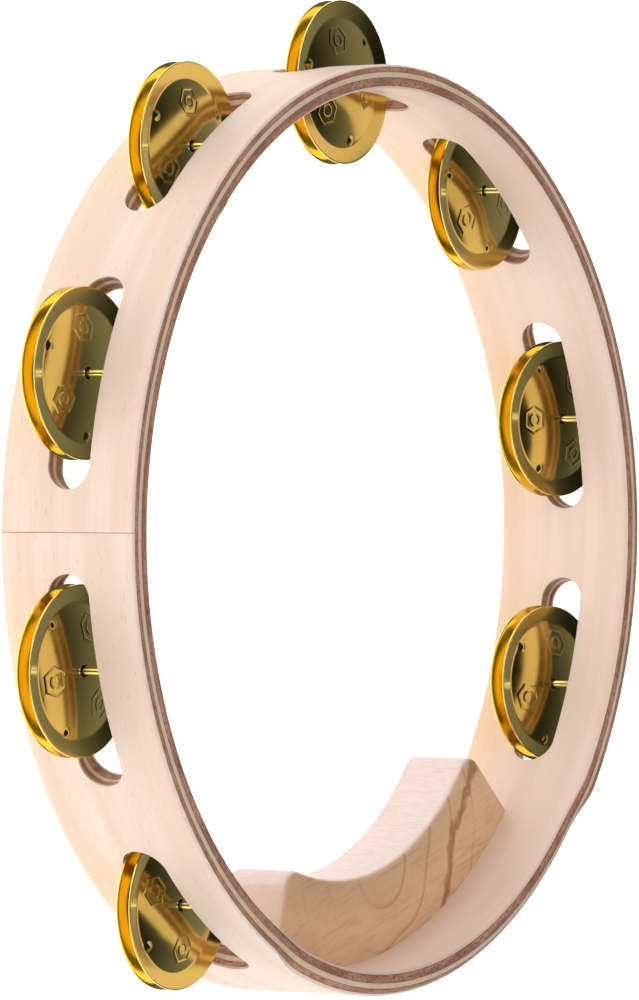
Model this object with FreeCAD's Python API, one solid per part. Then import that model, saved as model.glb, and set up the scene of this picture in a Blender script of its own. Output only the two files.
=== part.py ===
import FreeCAD, Part
import math
import os

V = FreeCAD.Vector

# A hand-held tambourine lying flat: a bent plywood ring with a solid wooden
# grip glued inside it, and eight slots that each hold two loose brass
# jingles on a steel pin. Millimetres and degrees. +Z is the ring's axis and
# points to its front rim; the grip is at -Y. Angles about the ring run from
# +Y towards +X.

# Ring
RING_R = 127.0              # outer radius: a 10 inch ring
RING_W = 42.5               # width from back rim to front rim
EDGE_R = 1.0                # rounding of the four rim edges
GLUE = 0.02                 # glue line between plies and under the grip
PLIES = (                   # from outside to inside: node name, thickness
    ("outer_face_veneer", 0.7),
    ("outer_cross_ply", 1.4),
    ("core_ply", 1.5),
    ("inner_cross_ply", 2.3),
    ("inner_face_veneer", 0.7),
)
RING_T = sum(t for _, t in PLIES)
RING_IN = RING_R - RING_T
SEAM_AT = -72.9             # butt joint of the outer face veneer
SEAM_W = 0.15

# Front edge eased for the hand, over the grip
RELIEF_AT = 184.5           # middle of the eased stretch
RELIEF_HALF = 33.5          # half its full-depth length
RELIEF_IN = 2.0             # depth at the inner face
RELIEF_TOP = 1.2            # depth at the crown, RELIEF_CROWN from the inner face
RELIEF_CROWN = 2.0
RELIEF_OUT = 4.2            # depth at the outer face
RELIEF_RUN = 9.5            # angle over which the easing runs out at each end
RELIEF_STEPS = 8            # sections that shape each run-out
RELIEF_LIFT = 0.12          # how far the last section clears the rim

# Pins: headless, driven in from the back rim
PIN_R = 1.0
PIN_IN = 0.3                # how far inside the middle of the wood they stand
PIN_PAST = 2.5845           # how far each pin stands past its slot's middle
PIN_SUNK = 1.5              # how far the pin's end sits below the back rim
PIN_STOP = 4.5              # wood left above the pin at the front rim
PIN_FIT = 0.02              # radial clearance of the pin in its hole
PIN_CHAMFER = 0.25
PIN_AT_R = RING_R - RING_T / 2.0 - PIN_IN
PIN_OFFSET = math.degrees(PIN_PAST / PIN_AT_R)

# Jingles
DISC_R = 22.5
DISC_T = 0.5                # sheet thickness
FLANGE_W = 4.6              # width of the flange round the dome
FLARE = 1.1                 # how far the flange rises from the dome's foot outwards
DOME_H = 1.85               # rise of the dome from its foot to its middle
HOLE_PLAY = 0.7             # radial play of the jingle on its pin
DIMPLE_IN = 1.3             # distance of the dimples inside the dome's foot
DIMPLE_R = 1.5              # half the dimple's width
DIMPLE_H = 0.5              # how far it stands out
REST_GAP = 0.05             # dome of the rear jingle to the slot's back wall
PAIR_GAP = 3.5              # rim to rim, inside the pair
TURN = (81, 115, 18, 16, 28, 28, 105, 1)          # each pair's turn on its pin
LEAN = (0.0, 0.0, 0.0, 0.0, 0.0, 0.0, 8.5, 7.5)   # lean towards the ring's middle
DOME_R = DISC_R - FLANGE_W
DOME_OUT = DOME_H - FLARE   # how far the dome stands past the jingle's rim
DIMPLE_AT = DOME_R - DIMPLE_IN
HOLE_R = PIN_R + HOLE_PLAY

# Slots
PAIRS = 8
PITCH = 36.4                # angle from one slot to the next
FREE_PLAY = 7.15            # room left above a pair that lies on the slot's back wall
SLOT_TUCK = 2.9423          # how far a jingle's edge reaches into the slot's round end
SLOT_H = REST_GAP + 2 * (DOME_OUT + DISC_T) + PAIR_GAP + FREE_PLAY
SLOT_Z = RING_W / 2.0

# Grip
GRIP_HALF = 31.1            # half its angle about the ring
GRIP_Z0 = 0.5               # back face, just inside the back rim
GRIP_W = 20.0               # from its back face to its front face
GRIP_T = 23.1               # thickness at the middle
HOLLOW_R = 77.3             # radius of the hand hollow
SHOULDER_R = 6.0            # rounding of the two shoulders
GRIP_EDGE = 1.5             # rounding of the long edges


def polar(r, deg, z=0.0):
    a = math.radians(deg)
    return V(r * math.sin(a), r * math.cos(a), z)


def slot_angle(i):
    return (i - (PAIRS - 1) / 2.0) * PITCH


def turned(shape, deg):
    """Turn a shape built at +Y to an angle about the ring."""
    s = shape.copy()
    s.rotate(V(0, 0, 0), V(0, 0, 1), -deg)
    return s


def section(points):
    """A face in the plane X = 0 from (radius, height) corners."""
    return Part.Face(Part.makePolygon([V(0, r, z) for r, z in points + points[:1]]))


def rim_outline():
    """The ring's whole cross-section with its four rounded edges."""
    a, b, w, e = RING_IN, RING_R, RING_W, EDGE_R
    k = e * (1.0 - math.sqrt(0.5))
    run = [((a + e, 0), (b - e, 0)), ((b - e, 0), (b - k, k), (b, e)),
           ((b, e), (b, w - e)), ((b, w - e), (b - k, w - k), (b - e, w)),
           ((b - e, w), (a + e, w)), ((a + e, w), (a + k, w - k), (a, w - e)),
           ((a, w - e), (a, e)), ((a, e), (a + k, k), (a + e, 0))]
    edges = []
    for pts in run:
        q = [V(0, r, z) for r, z in pts]
        edges.append(Part.makeLine(*q) if len(q) == 2 else Part.Arc(*q).toShape())
    return Part.Face(Part.Wire(edges))


def relief_section(share=1.0, lift=0.0):
    """Outline of what the easing takes away: all above a crowned, outward-falling arc."""
    top = RING_W + lift
    arc = Part.Arc(V(0, RING_IN - 0.3, top - (RELIEF_IN + 0.1) * share),
                   V(0, RING_IN + RELIEF_CROWN, top - RELIEF_TOP * share),
                   V(0, RING_R + 0.3, top - (RELIEF_OUT + 0.1) * share)).toShape()
    a, b = arc.Vertexes[0].Point, arc.Vertexes[-1].Point
    over = RING_W + 3
    corners = [b, V(0, RING_R + 3, b.z), V(0, RING_R + 3, over),
               V(0, RING_IN - 3, over), V(0, RING_IN - 3, a.z), a]
    return Part.Wire([arc, Part.makePolygon(corners)])


def relief_tools():
    """One sweep along the ring, and a soft run-out lofted on each end."""
    sweep = Part.Face(relief_section()).revolve(V(0, 0, 0), V(0, 0, 1), 2 * RELIEF_HALF)
    tools = [turned(sweep, RELIEF_AT + RELIEF_HALF)]
    for side in (-1, 1):
        wires = []
        for k in range(RELIEF_STEPS + 1):
            u = k / float(RELIEF_STEPS)
            share = max(0.5 + 0.5 * math.cos(math.pi * u), 0.004)
            wire = relief_section(share, RELIEF_LIFT * u)
            wires.append(turned(wire, RELIEF_AT + side * (RELIEF_HALF + RELIEF_RUN * u)))
        tools.append(Part.makeLoft(wires, True, False))
    return tools


def slot_tool(i):
    """A slot milled while the ring turns: two round ends and what is between.
    Its length follows from where the jingle crosses the ring's inner face."""
    r0, r1, h = RING_IN - 5, RING_R + 5, SLOT_H / 2.0
    # where the jingle's edge crosses the ring's inner face, from the pin
    edge = math.degrees(math.acos((RING_IN ** 2 + PIN_AT_R ** 2 - DISC_R ** 2)
                                  / (2.0 * RING_IN * PIN_AT_R)))
    half = edge + PIN_OFFSET - math.degrees(SLOT_TUCK / RING_IN)
    mid = section([(r0, SLOT_Z - h), (r1, SLOT_Z - h), (r1, SLOT_Z + h), (r0, SLOT_Z + h)])
    tool = turned(mid.revolve(V(0, 0, 0), V(0, 0, 1), 2 * half), half)
    for side in (-1, 1):
        end = Part.makeCylinder(h, r1 - r0, V(0, r0, SLOT_Z), V(0, 1, 0))
        tool = tool.fuse(turned(end, side * half))
    return turned(tool, slot_angle(i))


def pin_place(i):
    return polar(PIN_AT_R, slot_angle(i) + PIN_OFFSET)


def pin_hole(i):
    depth = RING_W - PIN_STOP + 0.3 + 1.0
    return Part.makeCylinder(PIN_R + PIN_FIT, depth, pin_place(i) + V(0, 0, -1))


def plies():
    outline = rim_outline()
    tools = relief_tools()
    for i in range(PAIRS):
        tools += [slot_tool(i), pin_hole(i)]
    seam = Part.makeBox(SEAM_W, 4, RING_W + 2, V(-SEAM_W / 2, RING_R - 2, -1))
    out, r = {}, RING_R
    for name, t in PLIES:
        r_out = r if r == RING_R else r - GLUE
        strip = section([(r - t, -1), (r_out, -1), (r_out, RING_W + 1), (r - t, RING_W + 1)])
        ring = outline.common(strip).Faces[0].revolve(V(0, 0, 0), V(0, 0, 1), 360)
        extra = [turned(seam, SEAM_AT)] if name == "outer_face_veneer" else []
        out[name] = ring.cut(tools + extra)
        r -= t
    return out


def pin(i):
    z0, z1 = PIN_SUNK, RING_W - PIN_STOP
    rod = Part.makeCylinder(PIN_R, z1 - z0, pin_place(i) + V(0, 0, z0))
    return rod.makeChamfer(PIN_CHAMFER, [e for e in rod.Edges if e.Closed])


def jingle():
    """One jingle at the origin: its rim's face at z = 0, the dome's foot below it."""
    t = DISC_T
    ball = (DOME_R ** 2 + DOME_H ** 2) / (2.0 * DOME_H)

    def dome(r):
        return math.sqrt(ball ** 2 - r ** 2) - (ball - DOME_H) - FLARE

    mid = DOME_R / 2.0
    over = Part.Arc(V(0, DOME_R, -FLARE), V(0, mid, dome(mid)), V(0, HOLE_R, dome(HOLE_R)))
    under = Part.Arc(V(0, HOLE_R, dome(HOLE_R) - t), V(0, mid, dome(mid) - t),
                     V(0, DOME_R, -FLARE - t))
    rim = Part.makePolygon([V(0, DOME_R, -FLARE - t), V(0, DISC_R, -t), V(0, DISC_R, 0),
                            V(0, DOME_R, -FLARE)])
    eye = Part.makeLine(V(0, HOLE_R, dome(HOLE_R)), V(0, HOLE_R, dome(HOLE_R) - t))
    face = Part.Face(Part.Wire([over.toShape(), eye, under.toShape(), rim]))
    disc = face.revolve(V(0, 0, 0), V(0, 0, 1), 360)
    bump_r = (DIMPLE_R ** 2 + DIMPLE_H ** 2) / (2.0 * DIMPLE_H)
    middle = V(0, 0, DIMPLE_H - bump_r)
    bump = Part.makeSphere(bump_r, middle).common(Part.makeBox(6, 6, 3, V(-3, -3, -0.3)))
    dent = Part.makeSphere(bump_r - t, middle)
    for k in range(3):
        placed = []
        for tool in (bump, dent):
            s = tool.copy()
            s.rotate(V(0, 0, 0), V(0, 1, 0), math.degrees(math.asin(DIMPLE_AT / ball)))
            s.translate(V(DIMPLE_AT, 0, dome(DIMPLE_AT)))
            s.rotate(V(0, 0, 0), V(0, 0, 1), 120 * k)
            placed.append(s)
        disc = disc.fuse(placed[0]).cut(placed[1])
    return disc


def place_jingle(base, i, front):
    """Stand a jingle on its pin: dome outwards, turned and leaned as it rests."""
    s = base.copy()
    s.rotate(V(0, 0, 0), V(0, 0, 1), TURN[i])
    # a leaned jingle rests where its edge crosses the ring's inner face
    inward = PIN_AT_R - (RING_IN ** 2 + PIN_AT_R ** 2 - DISC_R ** 2) / (2.0 * PIN_AT_R)
    lift = math.tan(math.radians(LEAN[i])) * inward
    z_back = SLOT_Z - SLOT_H / 2.0 + REST_GAP + lift + DOME_OUT + DISC_T
    if front:
        z = z_back + PAIR_GAP + DISC_T
    else:
        s.rotate(V(0, 0, 0), V(1, 0, 0), 180)
        z = z_back - DISC_T
    at = slot_angle(i) + PIN_OFFSET
    tangent = polar(1.0, at + 90)
    s.rotate(V(0, 0, 0), tangent, LEAN[i])
    s.translate(pin_place(i) + V(0, 0, z))
    return s


def grip():
    """Arc-shaped block with a hand hollow, built round -Y."""
    r_out = RING_IN - GLUE
    r_mid = RING_IN - GRIP_T
    off = r_mid - HOLLOW_R                     # hollow's centre, towards the grip
    end = math.radians(GRIP_HALF)

    def inner(a):
        return off * math.cos(a) + math.sqrt(HOLLOW_R ** 2 - (off * math.sin(a)) ** 2)

    def at(r, a):
        return V(r * math.sin(a), -r * math.cos(a), GRIP_Z0)

    a0, a1 = at(r_out, -end), at(r_out, end)
    b0, b1 = at(inner(end), -end), at(inner(end), end)
    wire = Part.Wire([Part.Arc(a0, at(r_out, 0), a1).toShape(), Part.makeLine(a1, b1),
                      Part.Arc(b1, at(r_mid, 0), b0).toShape(), Part.makeLine(b0, a0)])
    block = Part.Face(wire).extrude(V(0, 0, GRIP_W))

    def radius_of(p):
        return math.hypot(p.x, p.y)

    corners = [e for e in block.Edges if abs(e.Vertexes[0].Point.z - e.Vertexes[-1].Point.z) > 1
               and radius_of(e.Vertexes[0].Point) < RING_IN - 5]
    block = block.makeFillet(SHOULDER_R, corners)
    rims = []
    for e in block.Edges:
        p, q = e.Vertexes[0].Point, e.Vertexes[-1].Point
        m = e.valueAt((e.FirstParameter + e.LastParameter) / 2.0)
        if abs(p.z - q.z) < 0.01 and radius_of(m) < RING_IN - 1.0:
            rims.append(e)
    return block.makeFillet(GRIP_EDGE, rims)


def main():
    nodes = plies()
    nodes["grip"] = grip()
    base = jingle()
    for i in range(PAIRS):
        nodes["pin_%d" % (i + 1)] = pin(i)
        nodes["jingle_%d_front" % (i + 1)] = place_jingle(base, i, True)
        nodes["jingle_%d_back" % (i + 1)] = place_jingle(base, i, False)
    box = Part.makeCompound(list(nodes.values())).optimalBoundingBox(False, False)
    shift = V(-(box.XMin + box.XMax) / 2.0, -(box.YMin + box.YMax) / 2.0, -box.ZMin)
    os.makedirs("parts", exist_ok=True)
    for name, shape in nodes.items():
        if not shape.isValid() or not shape.Solids:
            raise RuntimeError(name + " is not a sound solid")
        shape = shape.Solids[0] if len(shape.Solids) == 1 else shape
        shape.translate(shift)
        shape.exportStep(os.path.join("parts", name + ".step"))
        print("%-20s %d solid(s) %10.1f mm3" % (name, len(shape.Solids), shape.Volume))
    print("ring axis at x %.3f y %.3f, box %.2f x %.2f x %.2f"
          % (shift.x, shift.y, box.XLength, box.YLength, box.ZLength))


main()
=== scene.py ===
# Looks of a hand-held tambourine: a bent plywood ring with a maple grip and
# eight pairs of brass jingles on steel pins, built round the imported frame.
import math

import bmesh
import bpy
from mathutils import Matrix, Vector


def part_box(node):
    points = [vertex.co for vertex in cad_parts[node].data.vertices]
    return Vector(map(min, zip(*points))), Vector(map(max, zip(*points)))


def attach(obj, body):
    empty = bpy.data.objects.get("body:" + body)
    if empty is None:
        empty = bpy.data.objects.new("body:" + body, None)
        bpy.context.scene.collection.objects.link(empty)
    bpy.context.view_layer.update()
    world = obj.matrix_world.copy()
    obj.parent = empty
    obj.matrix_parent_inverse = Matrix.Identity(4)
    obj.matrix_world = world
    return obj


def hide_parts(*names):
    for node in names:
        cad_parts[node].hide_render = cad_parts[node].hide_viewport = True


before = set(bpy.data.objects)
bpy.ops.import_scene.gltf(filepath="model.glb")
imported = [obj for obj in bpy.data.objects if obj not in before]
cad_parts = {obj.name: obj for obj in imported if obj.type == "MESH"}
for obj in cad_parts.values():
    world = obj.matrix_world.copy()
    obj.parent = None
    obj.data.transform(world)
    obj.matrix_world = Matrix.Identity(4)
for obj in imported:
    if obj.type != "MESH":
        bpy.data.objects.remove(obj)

bl_info = {
    "name": "Tambourine",
    "version": (1, 0, 0),
    "blender": (4, 5, 0),
    "location": "3D View > Sidebar > Tambourine",
    "description": "Builds and finishes a tambourine round its packed frame",
    "category": "Object",
}

MM = 0.001

# Ring, in mm: its outer radius, the plies' glue lines from outside in, and its inside
RING_R = 127.0
GLUE_LINES = (126.3, 124.9, 123.4, 121.1)
RING_IN = 120.4
SEAM_TURN = math.radians(162.9 - 180.0)     # where the outer veneer's ends meet

# Jingles: how the eight pairs stand on their pins
PAIRS = 8
FIRST_FACE = 15.95                                 # height of a rear jingle's inner rim, mm
TURN = (81, 115, 18, 16, 28, 28, 105, 1)           # turn of each pair, degrees
LEAN = (0.0, 0.0, 0.0, 0.0, 0.0, 0.0, 8.5, 7.5)    # lean of each pair, degrees

# Stamping of a jingle, in mm unless it says otherwise
STAMPS = 3                   # dimples, and as many marks between them
DIMPLE_IN = 1.3              # a dimple's middle, inside the dome's foot
DIMPLE_R = 1.5
MARK_AT = 0.66               # a mark's middle, as a share of the foot's radius
HEXAGON_REACH = 3.4          # from a mark's middle to its hexagon's sides
MARK_RING_R = 1.6
MARK_LINE = 0.22             # half the width of a mark's line
FINE_DIMPLE = 1.9            # the mesh is fine this far round a dimple
FINE_MARK = 4.5              # and this far round a mark

# Studio
LAMP_AWAY = 1.9              # from the ring's middle to each lamp, m
# name, azimuth and height in degrees, width and height in m, watts, seen in the brass
LAMPS = (("softbox_left", 106, 19, 2.3, 0.95, 12.8, True),
         ("softbox_right", 220, 19, 2.3, 0.95, 12.8, True),
         ("fill_above", 162, 84, 2.4, 2.4, 19.0, False))
CAMERA_AIM = (-4.05, 3.15, 20.0)            # the point it looks at, mm
CAMERA_AZIMUTH = 162.69                     # degrees
CAMERA_HEIGHT = 33.50                       # degrees
CAMERA_RIGHT = (0.5282, -0.1602, 0.8339)    # its right-hand direction, for its roll
CAMERA_LENS = 218.97                        # mm
CAMERA_SENSOR = 36.0                        # mm
CAMERA_END = 20.0                           # farthest that it sees, m


def from_hex(code):
    """Linear colour of an sRGB hex code."""
    parts = [int(code[i:i + 2], 16) / 255.0 for i in (0, 2, 4)]
    return tuple(c / 12.92 if c <= 0.04045 else ((c + 0.055) / 1.055) ** 2.4 for c in parts)


def rgba(colour):
    """A shader's colour, from a property's or a hex code's three parts."""
    return (*colour[:3], 1.0)


def tint(name, what, code):
    """A colour property that starts from a hex code."""
    return bpy.props.FloatVectorProperty(
        name=name, description=what, subtype="COLOR", size=3, min=0.0, max=1.0,
        default=from_hex(code))


def size(name, what, millimetres):
    """A length property that starts from a size in millimetres."""
    return bpy.props.FloatProperty(
        name=name, description=what, subtype="DISTANCE", unit="LENGTH",
        default=millimetres * MM, min=0.0, precision=5)


class TambourineWood(bpy.types.PropertyGroup):
    veneer: tint("Face veneer", "Pale maple of the ring's two faces", "F0DACA")
    veneer_streak: tint("Veneer streak", "Darker fibres in the face veneer", "E4C6AC")
    veneer_cloud: tint("Veneer cloud", "Pinker clouds in the face veneer", "EBCDB8")
    cross: tint("Cross ply", "End grain of the two brown plies", "D6A286")
    cross_pore: tint("Cross ply pores", "Open pores and glue lines of the plies", "784530")
    core: tint("Core ply", "Edge of the middle ply", "F6DEC2")
    grip: tint("Grip", "Front of the grip", "EEC49C")
    grip_shade: tint("Grip shade", "Stained patches on the grip's front", "D9A67A")
    grip_ring: tint("Grip growth line", "Dark line at the end of a year's growth", "A4663C")
    end_grain: tint("Grip end grain", "Hollow and ends of the grip", "F0DED8")
    end_hatch: tint("Grip hatch", "Fine hatching of the grip's cut fibres", "DDBBA8")


class TambourineJingles(bpy.types.PropertyGroup):
    brass: tint("Brass", "Polished brass of the jingles", "F7DF7C")
    pin: tint("Pin", "Bright steel of the pins", "E4E2D6")
    radius: size("Radius", "Radius of a jingle", 22.5)
    sheet: size("Sheet", "Thickness of the brass sheet", 0.5)
    flange: size("Flange width", "Width of the flange round the dome", 4.6)
    flare: size("Flange flare", "How far the flange rises to its outer edge", 1.1)
    dome: size("Dome rise", "Rise of the dome from its foot to its middle", 1.85)
    hole: size("Hole radius", "Radius of the hole for the pin", 1.7)
    gap: size("Gap", "From rim to rim, inside a pair", 3.5)
    dimple: size("Dimple height", "How far the three dimples stand out", 0.5)
    mark: size("Mark height", "How far the stamped outlines stand out", 0.14)


class TambourineStage(bpy.types.PropertyGroup):
    floor: tint("Floor", "Plain pale floor", "F7F7F7")
    room: tint("Room", "Grey of the room, low down", "7C7C7F")
    room_above: tint("Room above", "Near black of the room, overhead", "1D1D1E")
    reach: size("Camera distance", "From the camera to the middle of the ring", 1665.8)


def node(tree, kind, settings=None, inputs=None):
    """Add a node. Settings are its own properties; inputs are values or the sockets that feed it."""
    made = tree.nodes.new(kind)
    for key, value in (settings or {}).items():
        setattr(made, key, value)
    for key, value in (inputs or {}).items():
        socket = made.inputs[key]
        if isinstance(value, bpy.types.NodeSocket):
            tree.links.new(value, socket)
        else:
            socket.default_value = value
    return made


def begin(name):
    """A new empty material, and its tree."""
    material = bpy.data.materials.new(name)
    material.use_nodes = True
    material.node_tree.nodes.clear()
    return material, material.node_tree


def close(tree, surface):
    """End a material's tree with its surface."""
    node(tree, "ShaderNodeOutputMaterial", inputs={"Surface": surface})


def heading(azimuth, height):
    """Unit vector towards an azimuth and a height angle, in degrees."""
    a, b = math.radians(azimuth), math.radians(height)
    return Vector((math.cos(a) * math.cos(b), math.sin(a) * math.cos(b), math.sin(b)))


def ring_middle():
    """Where the ring's axis stands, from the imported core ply."""
    low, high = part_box("core_ply")
    return Vector(((low.x + high.x) / 2, (low.y + high.y) / 2, 0.0))


def finish_node(name, material):
    """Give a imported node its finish."""
    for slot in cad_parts[name].material_slots:
        slot.material = material


# ---------------------------------------------------------------- wood

def round_the_ring(tree):
    """Place as seen by the bent wood, in metres: along the ring, out from its
    axis, and up. The turn's end falls on the outer veneer's butt joint."""
    middle = ring_middle()
    place = node(tree, "ShaderNodeTexCoord").outputs["Object"]
    centred = node(tree, "ShaderNodeMapping", {"vector_type": "TEXTURE"}, {
        "Vector": place, "Location": middle, "Rotation": (0.0, 0.0, SEAM_TURN)}).outputs[0]
    parts = node(tree, "ShaderNodeSeparateXYZ", inputs={0: centred})
    flat = node(tree, "ShaderNodeCombineXYZ", inputs={0: parts.outputs[0], 1: parts.outputs[1]})
    out = node(tree, "ShaderNodeVectorMath", {"operation": "LENGTH"}, {0: flat.outputs[0]})
    turn = node(tree, "ShaderNodeMath", {"operation": "ARCTAN2"}, {
        0: parts.outputs[1], 1: parts.outputs[0]})
    along = node(tree, "ShaderNodeMath", {"operation": "MULTIPLY"}, {
        0: turn.outputs[0], 1: RING_R * MM})
    vector = node(tree, "ShaderNodeCombineXYZ", inputs={
        0: along.outputs[0], 1: out.outputs["Value"], 2: parts.outputs[2]})
    return vector.outputs[0], out.outputs["Value"]


def grain(tree, place, scale, detail, roughness=0.55):
    """Noise stretched along the wood: scale is cycles in a metre each way."""
    stretched = node(tree, "ShaderNodeMapping", inputs={"Vector": place, "Scale": scale})
    return node(tree, "ShaderNodeTexNoise", inputs={
        "Vector": stretched.outputs[0], "Scale": 1.0, "Detail": detail,
        "Roughness": roughness}).outputs[0]


def share(tree, value, low, high, top):
    """How much of a second colour shows: none at low, top at high."""
    return node(tree, "ShaderNodeMapRange", {"interpolation_type": "SMOOTHSTEP"}, {
        "Value": value, "From Min": low, "From Max": high, "To Max": top}).outputs[0]


def blend(tree, amount, first, second):
    """The first colour, with an amount of the second over it."""
    return node(tree, "ShaderNodeMix", {"data_type": "RGBA"}, {
        0: amount, 6: first, 7: second}).outputs[2]


def satin_wood(tree, colour, height, depth, roughness):
    """Sanded wood under a thin satin sealer."""
    relief = node(tree, "ShaderNodeBump", inputs={
        "Strength": depth, "Distance": 0.0001, "Height": height})
    return node(tree, "ShaderNodeBsdfPrincipled", inputs={
        "Base Color": colour, "Roughness": roughness, "IOR": 1.5,
        "Normal": relief.outputs[0]}).outputs[0]


def maple_veneer(wood):
    """Rotary-cut maple face veneer, sanded and sealed satin: pale, with long
    faint fibres round the ring, soft clouds and short brown flecks."""
    material, tree = begin("maple_veneer_satin")
    place, _ = round_the_ring(tree)
    # fibres 0.7 mm apart across the ring's width and about 60 mm long
    fibre = grain(tree, place, (16.0, 100.0, 1400.0), 4.0, 0.6)
    # bands of slower and faster growth, 8 mm wide and 150 mm long
    band = grain(tree, place, (7.0, 100.0, 120.0), 2.0)
    # clouds 45 mm long and 22 mm wide
    cloud = grain(tree, place, (22.0, 100.0, 45.0), 2.0)
    # flecks 0.4 mm wide and 2 to 4 mm long
    fleck = grain(tree, place, (330.0, 100.0, 2400.0), 1.0)
    colour = blend(tree, share(tree, band, 0.40, 0.68, 0.55),
                   rgba(wood.veneer), rgba(wood.veneer_streak))
    colour = blend(tree, share(tree, cloud, 0.42, 0.72, 0.40), colour, rgba(wood.veneer_cloud))
    colour = blend(tree, share(tree, fibre, 0.45, 0.75, 0.28), colour, rgba(wood.veneer_streak))
    colour = blend(tree, share(tree, fleck, 0.69, 0.78, 0.28), colour, rgba(wood.cross_pore))
    close(tree, satin_wood(tree, colour, fibre, 0.12, 0.42))
    return material


def ply_edge(name, face, pore, amount, inner, outer):
    """Cut edge of a birch ply between two radii in mm, sanded and sealed: end
    grain drinks the sealer and stays darker, with short dashes round the ring
    and a thin dark glue line on each side."""
    material, tree = begin(name)
    place, out = round_the_ring(tree)
    # dashes 1 to 3 mm long and 0.3 mm deep
    dash = grain(tree, place, (520.0, 2900.0, 260.0), 3.0, 0.65)
    # denser patches about 14 mm long
    patch = grain(tree, place, (70.0, 500.0, 120.0), 3.0)
    # fine rays across the ply; real ones are 0.1 mm, drawn at 0.4 mm so that they show
    ray = grain(tree, place, (2400.0, 300.0, 90.0), 2.0)
    colour = blend(tree, share(tree, patch, 0.38, 0.66, amount * 0.6), rgba(face), rgba(pore))
    colour = blend(tree, share(tree, dash, 0.46, 0.68, amount), colour, rgba(pore))
    colour = blend(tree, share(tree, ray, 0.52, 0.70, amount * 0.55), colour, rgba(pore))
    glue = 0.28              # how far a glue line's darkness reaches, mm
    for line, reach in ((inner, glue), (outer, -glue)):
        edge = share(tree, out, (line + reach) * MM, line * MM, 0.6)
        colour = blend(tree, edge, colour, rgba(pore))
    close(tree, satin_wood(tree, colour, dash, 0.25, 0.52))
    return material


def year_lines(tree, place):
    """Where the grip's growth lines show. The board was cut flat, so they
    close round its middle, 12.5 mm apart, and are stronger in places."""
    log = node(tree, "ShaderNodeMapping", inputs={
        "Vector": place, "Location": (0.004, 0.102, 0.0)})
    years = node(tree, "ShaderNodeTexWave", {
        "wave_type": "RINGS", "rings_direction": "Z", "wave_profile": "SAW"}, {
        "Vector": log.outputs[0], "Scale": 25.0, "Distortion": 5.0, "Detail": 2.0,
        "Detail Scale": 0.8, "Detail Roughness": 0.6})
    strong = grain(tree, place, (28.0, 28.0, 28.0), 1.0)
    return node(tree, "ShaderNodeMath", {"operation": "MULTIPLY"}, {
        0: share(tree, years.outputs[1], 0.84, 1.0, 1.0),
        1: share(tree, strong, 0.38, 0.66, 0.42)}).outputs[0]


def heartwood_streak(tree, place):
    """Where the grip's one brown streak shows: an arc near the +X end, 2 to
    3 mm wide, that wanders by some 5 mm. All in metres."""
    bend, sway, half_width = 0.0935, 0.013, 0.0022
    beyond = node(tree, "ShaderNodeMapping", inputs={
        "Vector": place, "Location": (-0.100, 0.160, 0.0)})
    far = node(tree, "ShaderNodeVectorMath", {"operation": "LENGTH"}, {0: beyond.outputs[0]})
    wander = grain(tree, place, (75.0, 75.0, 75.0), 4.0, 0.6)
    wavy = node(tree, "ShaderNodeMath", {"operation": "MULTIPLY_ADD"}, {
        0: wander, 1: sway, 2: far.outputs["Value"]})
    off = node(tree, "ShaderNodeMath", {"operation": "SUBTRACT"}, {0: wavy.outputs[0], 1: bend})
    off = node(tree, "ShaderNodeMath", {"operation": "ABSOLUTE"}, {0: off.outputs[0]})
    return share(tree, off.outputs[0], half_width, 0.0004, 0.75)


def maple_grip(wood):
    """Solid maple, sawn to its curve and sanded. The front shows the year
    lines of a flat-sawn board; the hollow and the ends are cut across the
    fibres, and are paler, pinker and finely hatched."""
    material, tree = begin("maple_solid_satin")
    place = node(tree, "ShaderNodeTexCoord").outputs["Object"]
    faces = node(tree, "ShaderNodeSeparateXYZ", inputs={
        0: node(tree, "ShaderNodeNewGeometry").outputs["Normal"]})
    front = share(tree, faces.outputs[2], 0.45, 0.85, 1.0)
    side = node(tree, "ShaderNodeMath", {"operation": "ABSOLUTE"}, {0: faces.outputs[0]})
    # fibres along the grip, about 1 mm thick and 11 mm long
    fibre = grain(tree, place, (90.0, 900.0, 1300.0), 3.0)
    # stains some 15 mm across
    stain = grain(tree, place, (55.0, 90.0, 60.0), 3.0)
    # hatching of cut fibres, 0.5 to 0.8 mm wide and 4 mm long
    hatch = grain(tree, place, (1900.0, 1200.0, 260.0), 3.0, 0.7)
    # flecks 0.6 mm by 2 mm
    flecks = grain(tree, place, (500.0, 1600.0, 500.0), 2.0)
    board = blend(tree, share(tree, stain, 0.45, 0.78, 0.45), rgba(wood.grip),
                  rgba(wood.grip_shade))
    board = blend(tree, year_lines(tree, place), board, rgba(wood.grip_ring))
    board = blend(tree, heartwood_streak(tree, place), board, rgba(wood.grip_ring))
    board = blend(tree, share(tree, fibre, 0.48, 0.72, 0.22), board, rgba(wood.grip_ring))
    board = blend(tree, share(tree, flecks, 0.66, 0.76, 0.30), board, rgba(wood.grip_ring))
    across = blend(tree, share(tree, hatch, 0.42, 0.68, 0.40), rgba(wood.end_grain),
                   rgba(wood.end_hatch))
    across = blend(tree, share(tree, stain, 0.45, 0.75, 0.25), across, rgba(wood.end_hatch))
    # the two ends cut the fibres square, and drink more of the sealer
    across = blend(tree, share(tree, side.outputs[0], 0.66, 0.86, 0.6), across,
                   rgba(wood.end_hatch))
    colour = blend(tree, front, across, board)
    close(tree, satin_wood(tree, colour, hatch, 0.2, 0.5))
    return material


# --------------------------------------------------------------- metal

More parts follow.
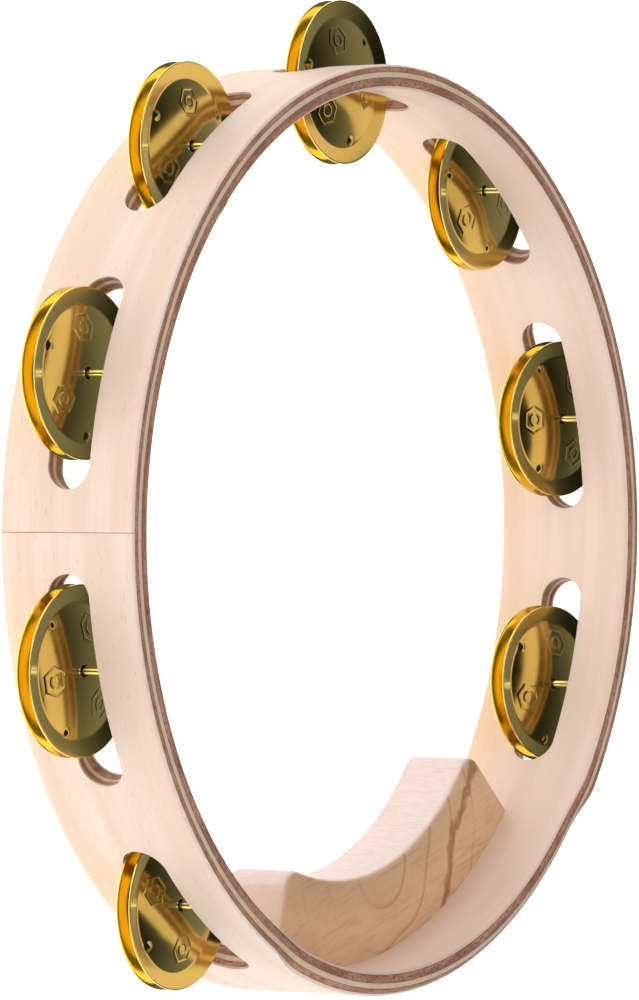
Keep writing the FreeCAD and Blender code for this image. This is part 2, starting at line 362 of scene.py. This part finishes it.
def brass_polished(look):
    """Stamped brass sheet, polished and lacquered: bright, with reflections
    softened by the lacquer and bent by the slight waviness of stamped sheet."""
    material, tree = begin("brass_polished")
    place = node(tree, "ShaderNodeTexCoord").outputs["Object"]
    wave = node(tree, "ShaderNodeTexNoise", inputs={
        "Vector": place, "Scale": 110.0, "Detail": 1.0})
    haze = node(tree, "ShaderNodeTexNoise", inputs={
        "Vector": place, "Scale": 240.0, "Detail": 3.0})
    rough = node(tree, "ShaderNodeMapRange", inputs={
        "Value": haze.outputs[0], "From Min": 0.3, "From Max": 0.8,
        "To Min": 0.13, "To Max": 0.19})
    relief = node(tree, "ShaderNodeBump", inputs={
        "Strength": 0.08, "Distance": 0.0004, "Height": wave.outputs[0]})
    shader = node(tree, "ShaderNodeBsdfPrincipled", inputs={
        "Base Color": rgba(look.brass), "Metallic": 1.0,
        "Roughness": rough.outputs[0], "Normal": relief.outputs[0]})
    close(tree, shader.outputs[0])
    return material


def steel_bright(look):
    """Drawn steel wire, bright nickel plated: drawing marks run along it."""
    material, tree = begin("steel_nickel_plated")
    place = node(tree, "ShaderNodeTexCoord").outputs["Object"]
    drawn = node(tree, "ShaderNodeTexNoise", inputs={
        "Vector": node(tree, "ShaderNodeMapping", inputs={
            "Vector": place, "Scale": (5000.0, 5000.0, 120.0)}).outputs[0],
        "Scale": 1.0, "Detail": 2.0})
    rough = node(tree, "ShaderNodeMapRange", inputs={
        "Value": drawn.outputs[0], "To Min": 0.12, "To Max": 0.26})
    shader = node(tree, "ShaderNodeBsdfPrincipled", inputs={
        "Base Color": rgba(look.pin), "Metallic": 1.0, "Roughness": rough.outputs[0]})
    close(tree, shader.outputs[0])
    return material


# ------------------------------------------------------------ jingles

def hexagon_distance(x, y, reach):
    """Signed distance from a hexagon with flats at the given reach."""
    x, y = abs(x), abs(y)
    return max(x * 0.5 + y * math.sqrt(0.75), x) - reach


def stamps(look):
    """The middles of the dimples and of the marks between them, each with the
    angle at which it stands."""
    foot = look.radius - look.flange
    for k in range(STAMPS):
        a = math.tau * k / STAMPS
        b = a + math.pi / STAMPS
        yield (a, foot - DIMPLE_IN * MM), (b, foot * MARK_AT)


def from_stamp(x, y, angle, out):
    """A point's place seen from a stamp: along its own radius, and across it."""
    x, y = x - out * math.cos(angle), y - out * math.sin(angle)
    return (x * math.cos(angle) + y * math.sin(angle),
            -x * math.sin(angle) + y * math.cos(angle))


def stamped_height(x, y, look):
    """Height that the stamping adds to the sheet, away from its plain dome."""
    height = 0.0
    for dimple, mark in stamps(look):
        d = math.hypot(*from_stamp(x, y, *dimple)) / (DIMPLE_R * MM)
        if d < 1.0:
            height += look.dimple * (1.0 - d * d) ** 1.5
        u, v = from_stamp(x, y, *mark)
        outline = abs(hexagon_distance(u, v, HEXAGON_REACH * MM))
        ring = abs(math.hypot(u, v) - MARK_RING_R * MM)
        d = min(outline, ring) / (MARK_LINE * MM)
        height += look.mark * math.exp(-d * d)
    return height


def near_stamp(x, y, look):
    """Whether the mesh has to be fine here, to carry the stamping."""
    return any(math.hypot(*from_stamp(x, y, *dimple)) < FINE_DIMPLE * MM
               or math.hypot(*from_stamp(x, y, *mark)) < FINE_MARK * MM
               for dimple, mark in stamps(look))


def jingle_mesh(look):
    """One jingle at the origin: its outer edge's face at height 0, the dome above."""
    foot = look.radius - look.flange
    ball = (foot ** 2 + look.dome ** 2) / (2 * look.dome)
    sweep = math.asin(foot / ball) - math.asin(look.hole / ball)
    bm = bmesh.new()
    first = bm.verts.new((foot, 0, -look.flare))
    # the dome's line, turned about the ball's middle from its foot to the hole
    bmesh.ops.spin(bm, geom=[first], cent=(0, 0, look.dome - look.flare - ball),
                   axis=(0, 1, 0), angle=-sweep, steps=30)
    made = bmesh.ops.extrude_vert_indiv(bm, verts=[first])
    bmesh.ops.translate(bm, verts=made["verts"], vec=(look.flange, 0, look.flare))
    bmesh.ops.subdivide_edges(bm, edges=made["edges"], cuts=7)
    bmesh.ops.spin(bm, geom=bm.verts[:] + bm.edges[:], cent=(0, 0, 0), axis=(0, 0, 1),
                   angle=math.tau, steps=180, use_merge=True)
    bmesh.ops.remove_doubles(bm, verts=bm.verts[:], dist=1e-6)
    bmesh.ops.recalc_face_normals(bm, faces=bm.faces[:])
    if sum(f.normal.z for f in bm.faces) < 0:
        bmesh.ops.reverse_faces(bm, faces=bm.faces[:])
    # the dome's foot is rounded, where it meets the flange
    crease = [e for e in bm.edges if all(abs(v.co.xy.length - foot) < 1e-5 for v in e.verts)]
    bmesh.ops.bevel(bm, geom=crease, offset=0.45 * MM, offset_type="OFFSET", segments=4,
                    profile=0.5, affect="EDGES", material=-1)
    fine = {e for f in bm.faces
            if near_stamp(*f.calc_center_median().xy, look) for e in f.edges}
    bmesh.ops.subdivide_edges(bm, edges=list(fine), cuts=2, use_grid_fill=True)
    for v in bm.verts:
        v.co.z += stamped_height(v.co.x, v.co.y, look)
    bmesh.ops.solidify(bm, geom=bm.faces[:], thickness=look.sheet)
    bmesh.ops.recalc_face_normals(bm, faces=bm.faces[:])
    # and so are the sheet's own sharp edges
    rims = [e for e in bm.edges if len(e.link_faces) == 2
            and e.calc_face_angle(0) > math.radians(50)]
    bmesh.ops.bevel(bm, geom=rims, offset=0.13 * MM, offset_type="OFFSET", segments=3,
                    profile=0.5, affect="EDGES", material=-1)
    for f in bm.faces:
        f.smooth = True
    mesh = bpy.data.meshes.new("jingle_pattern")
    bm.to_mesh(mesh)
    bm.free()
    return mesh


def jingle_place(index, front, look):
    """How a jingle stands on its pin, as a matrix."""
    low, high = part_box("pin_%d" % (index + 1))
    pin = Vector(((low.x + high.x) / 2, (low.y + high.y) / 2, 0.0))
    lean = math.radians(LEAN[index])
    outward = pin - ring_middle()
    outward.z = 0.0
    # a leaned jingle rests where its edge crosses the ring's inner face
    stand, wall = outward.length, RING_IN * MM
    inward = stand - (wall ** 2 + stand ** 2 - look.radius ** 2) / (2 * stand)
    inner = FIRST_FACE * MM + math.tan(lean) * inward
    turn = Matrix.Rotation(math.radians(TURN[index]), 4, "Z")
    if front:
        height = inner + look.gap + look.sheet
    else:
        turn = Matrix.Rotation(math.pi, 4, "X") @ turn
        height = inner - look.sheet
    tangent = Vector((outward.y, -outward.x, 0.0)).normalized()
    return (Matrix.Translation(pin + Vector((0, 0, height)))
            @ Matrix.Rotation(lean, 4, tangent) @ turn)


# -------------------------------------------------------------- stage

def lay_floor(scene, look):
    """A plain pale floor, 8 m across, that glows a little so that it stays white."""
    bm = bmesh.new()
    bmesh.ops.create_grid(bm, x_segments=1, y_segments=1, size=4.0)
    mesh = bpy.data.meshes.new("floor")
    bm.to_mesh(mesh)
    bm.free()
    floor = bpy.data.objects.new("floor", mesh)
    scene.collection.objects.link(floor)
    material, tree = begin("floor_matt_white")
    shader = node(tree, "ShaderNodeBsdfPrincipled", inputs={
        "Base Color": rgba(look.floor), "Roughness": 0.9, "Specular IOR Level": 0.0,
        "Emission Color": (1.0, 1.0, 1.0, 1.0), "Emission Strength": 0.75})
    close(tree, shader.outputs[0])
    mesh.materials.append(material)


def dim_room(scene, look):
    """A grey room that grows dark overhead, so that the brass has depth."""
    world = bpy.data.worlds.new("studio")
    world.use_nodes = True
    tree = world.node_tree
    tree.nodes.clear()
    towards = node(tree, "ShaderNodeTexCoord").outputs["Generated"]
    height = node(tree, "ShaderNodeSeparateXYZ", inputs={0: towards}).outputs[2]
    overhead = share(tree, height, 0.30, 0.84, 1.0)
    room = blend(tree, overhead, rgba(look.room), rgba(look.room_above))
    back = node(tree, "ShaderNodeBackground", inputs={"Color": room})
    node(tree, "ShaderNodeOutputWorld", inputs={"Surface": back.outputs[0]})
    scene.world = world


def hang_lamps(scene):
    """Two wide softboxes that the brass shows with a dark gap between them,
    and a soft fill from above for the rim, which the brass doesn't show."""
    for name, azimuth, height, wide, tall, watts, shines in LAMPS:
        lamp = bpy.data.lights.new(name, "AREA")
        lamp.shape, lamp.size, lamp.size_y, lamp.energy = "RECTANGLE", wide, tall, watts
        holder = bpy.data.objects.new(name, lamp)
        towards = heading(azimuth, height)
        holder.location = towards * LAMP_AWAY
        holder.rotation_euler = towards.to_track_quat("Z", "Y").to_euler()
        holder.visible_glossy = shines
        scene.collection.objects.link(holder)


def place_camera(scene, look):
    """The camera, rolled so that the ring stands upright in its view."""
    data = bpy.data.cameras.new("camera")
    data.sensor_width, data.lens, data.clip_end = CAMERA_SENSOR, CAMERA_LENS, CAMERA_END
    camera = bpy.data.objects.new("camera", data)
    scene.collection.objects.link(camera)
    aim = Vector(CAMERA_AIM) * MM
    towards = heading(CAMERA_AZIMUTH, CAMERA_HEIGHT)
    up = towards.cross(Vector(CAMERA_RIGHT)).normalized()
    right = up.cross(towards)
    camera.matrix_world = Matrix.Translation(aim + towards * look.reach) @ Matrix(
        (right, up, towards)).transposed().to_4x4()
    scene.camera = camera


# ---------------------------------------------------------- operators

class TAMBOURINE_OT_stage(bpy.types.Operator):
    """Lay the pale floor, set the soft lights and place the camera"""
    bl_idname = "tambourine.stage"
    bl_label = "Stage"

    def execute(self, context):
        scene = context.scene
        look = scene.tambourine_stage
        lay_floor(scene, look)
        dim_room(scene, look)
        hang_lamps(scene)
        place_camera(scene, look)
        scene.view_settings.view_transform = "Standard"
        return {"FINISHED"}


class TAMBOURINE_OT_ring(bpy.types.Operator):
    """Finish the five plies of the bent ring"""
    bl_idname = "tambourine.ring"
    bl_label = "Ring"

    def execute(self, context):
        wood = context.scene.tambourine_wood
        veneer = maple_veneer(wood)
        for name in ("outer_face_veneer", "inner_face_veneer"):
            finish_node(name, veneer)
        outer, core_out, core_in, inner = GLUE_LINES
        finish_node("outer_cross_ply", ply_edge(
            "birch_outer_ply_edge", wood.cross, wood.cross_pore, 0.72, core_out, outer))
        finish_node("core_ply", ply_edge(
            "birch_core_ply_edge", wood.core, wood.cross, 0.34, core_in, core_out))
        finish_node("inner_cross_ply", ply_edge(
            "birch_inner_ply_edge", wood.cross, wood.cross_pore, 0.85, inner, core_in))
        return {"FINISHED"}


class TAMBOURINE_OT_grip(bpy.types.Operator):
    """Finish the solid wooden grip"""
    bl_idname = "tambourine.grip"
    bl_label = "Grip"

    def execute(self, context):
        finish_node("grip", maple_grip(context.scene.tambourine_wood))
        return {"FINISHED"}


class TAMBOURINE_OT_pins(bpy.types.Operator):
    """Finish the eight steel pins"""
    bl_idname = "tambourine.pins"
    bl_label = "Pins"

    def execute(self, context):
        steel = steel_bright(context.scene.tambourine_jingles)
        for n in range(1, PAIRS + 1):
            finish_node("pin_%d" % n, steel)
        return {"FINISHED"}


class TAMBOURINE_OT_jingles(bpy.types.Operator):
    """Stamp the sixteen brass jingles and hang them on their pins"""
    bl_idname = "tambourine.jingles"
    bl_label = "Jingles"

    def execute(self, context):
        look = context.scene.tambourine_jingles
        brass = brass_polished(look)
        pattern = jingle_mesh(look)
        pattern.materials.append(brass)
        for index in range(PAIRS):
            for front in (True, False):
                body = "jingle_%d_%s" % (index + 1, "front" if front else "back")
                mesh = pattern.copy()
                mesh.transform(jingle_place(index, front, look))
                piece = bpy.data.objects.new(body + "_stamped", mesh)
                context.scene.collection.objects.link(piece)
                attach(piece, body)
                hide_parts(body)
        return {"FINISHED"}


class TAMBOURINE_PT_panel(bpy.types.Panel):
    """The tambourine's pieces, their sizes and their colours"""
    bl_idname = "TAMBOURINE_PT_panel"
    bl_label = "Tambourine"
    bl_space_type = "VIEW_3D"
    bl_region_type = "UI"
    bl_category = "Tambourine"

    def draw(self, context):
        column = self.layout.column()
        for operator in OPERATORS:
            column.operator(operator.bl_idname)
        for group in (context.scene.tambourine_wood, context.scene.tambourine_jingles,
                      context.scene.tambourine_stage):
            for name in group.bl_rna.properties.keys():
                if name not in ("rna_type", "name"):
                    column.prop(group, name)


OPERATORS = (TAMBOURINE_OT_stage, TAMBOURINE_OT_ring, TAMBOURINE_OT_grip,
             TAMBOURINE_OT_pins, TAMBOURINE_OT_jingles)
GROUPS = {"tambourine_wood": TambourineWood, "tambourine_jingles": TambourineJingles,
          "tambourine_stage": TambourineStage}


def register():
    for group in GROUPS.values():
        bpy.utils.register_class(group)
    for name, group in GROUPS.items():
        setattr(bpy.types.Scene, name, bpy.props.PointerProperty(type=group))
    for operator in OPERATORS:
        bpy.utils.register_class(operator)
    bpy.utils.register_class(TAMBOURINE_PT_panel)


def unregister():
    bpy.utils.unregister_class(TAMBOURINE_PT_panel)
    for operator in reversed(OPERATORS):
        bpy.utils.unregister_class(operator)
    for name in GROUPS:
        delattr(bpy.types.Scene, name)
    for group in GROUPS.values():
        bpy.utils.unregister_class(group)


def main():
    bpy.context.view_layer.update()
    register()
    bpy.ops.tambourine.stage()
    bpy.ops.tambourine.ring()
    bpy.ops.tambourine.grip()
    bpy.ops.tambourine.pins()
    bpy.ops.tambourine.jingles()


if __name__ == "__main__":
    main()
